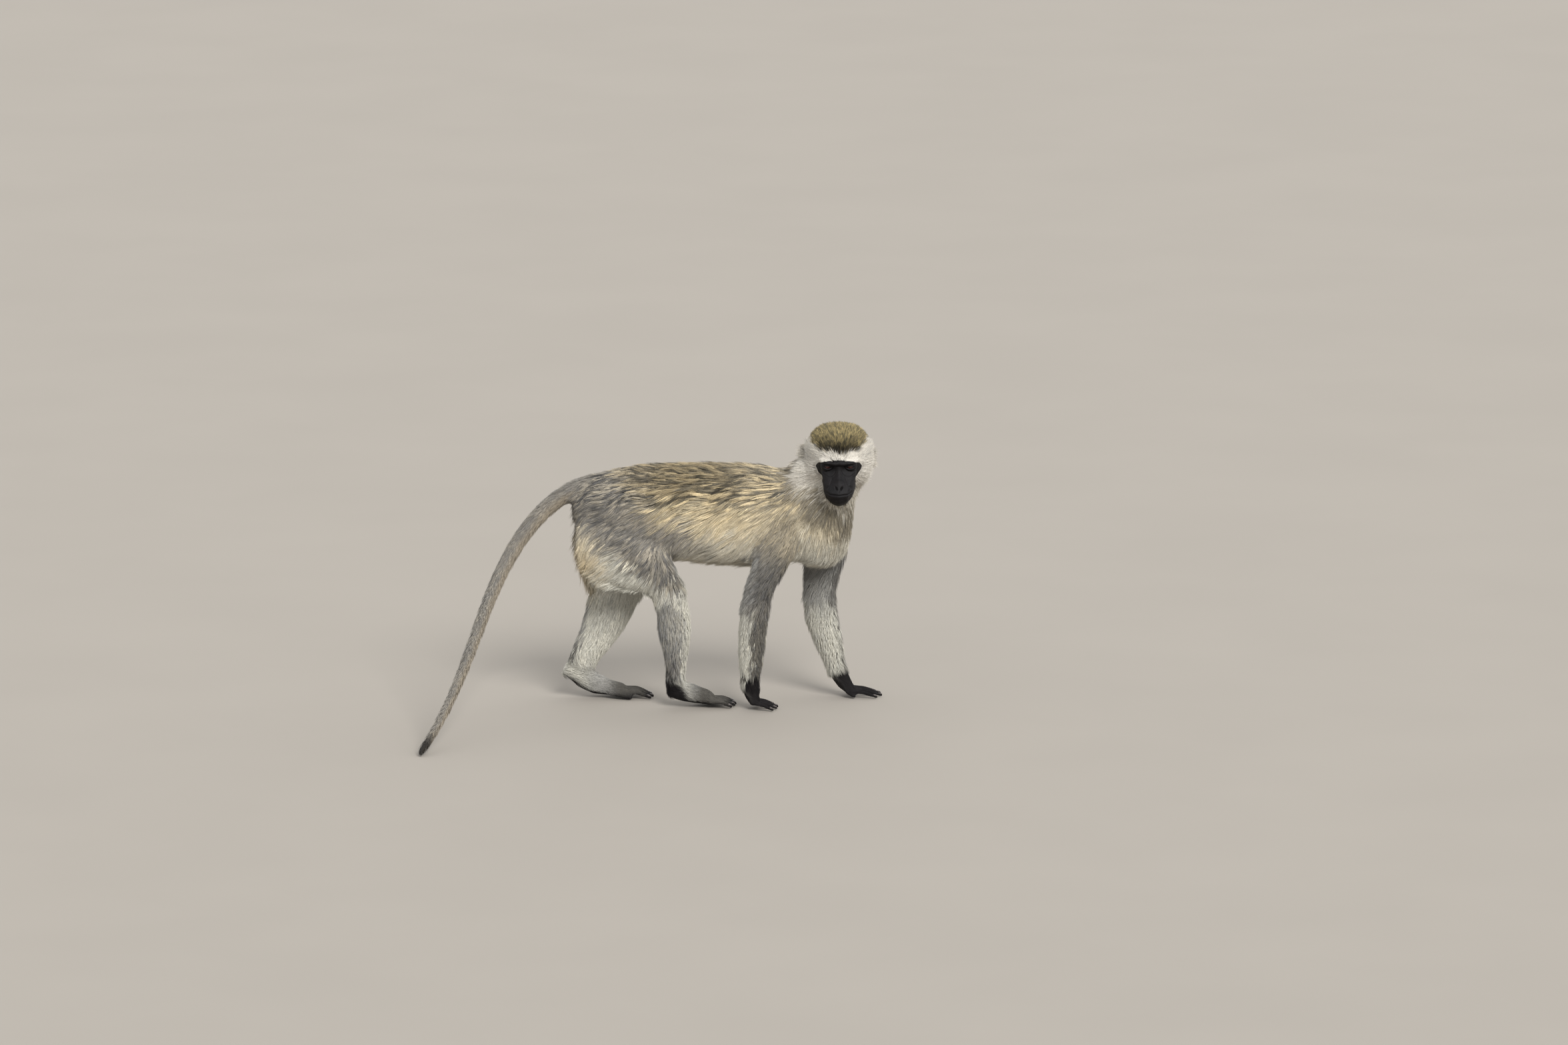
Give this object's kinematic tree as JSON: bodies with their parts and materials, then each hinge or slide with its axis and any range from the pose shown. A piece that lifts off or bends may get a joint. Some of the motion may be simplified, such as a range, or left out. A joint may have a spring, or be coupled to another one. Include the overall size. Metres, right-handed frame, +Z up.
{
  "type": "vervet monkey figure",
  "caption": "Life-size still figure of a grey-green monkey walking on all fours, head turned to its right, tail swung down to the floor.",
  "frame": {"origin": "centre of the bounding box on the floor plane, below the belly", "axes": "+X the way the body faces, +Y the animal's left, +Z up; the face looks along -Y"},
  "size_m": [0.636, 0.3994, 0.4031],
  "materials": {
    "coat_olive": "soft fur",
    "coat_grey": "soft fur",
    "coat_pale": "soft fur",
    "skin_black": "bare skin",
    "eye": "wet gloss"
  },
  "bodies": {
    "root": {"hand_r": "skin_black", "forearm_r": "coat_grey", "upper_arm_r": "coat_grey", "hand_l": "skin_black", "forearm_l": "coat_grey", "upper_arm_l": "coat_grey", "foot_r": "skin_black", "shank_r": "coat_grey", "thigh_r": "coat_grey", "foot_l": "skin_black", "shank_l": "coat_pale", "thigh_l": "coat_pale", "eye_r": "eye", "eye_l": "eye", "face": "skin_black", "ear_r": "skin_black", "ear_l": "skin_black", "head": "coat_olive", "neck": "coat_olive", "chest": "coat_olive", "belly": "coat_olive", "rump": "coat_olive", "tail_1": "coat_grey", "tail_2": "coat_grey", "tail_3": "coat_grey", "tail_4": "coat_grey", "tail_5": "skin_black"}
  },
  "joints": []
}
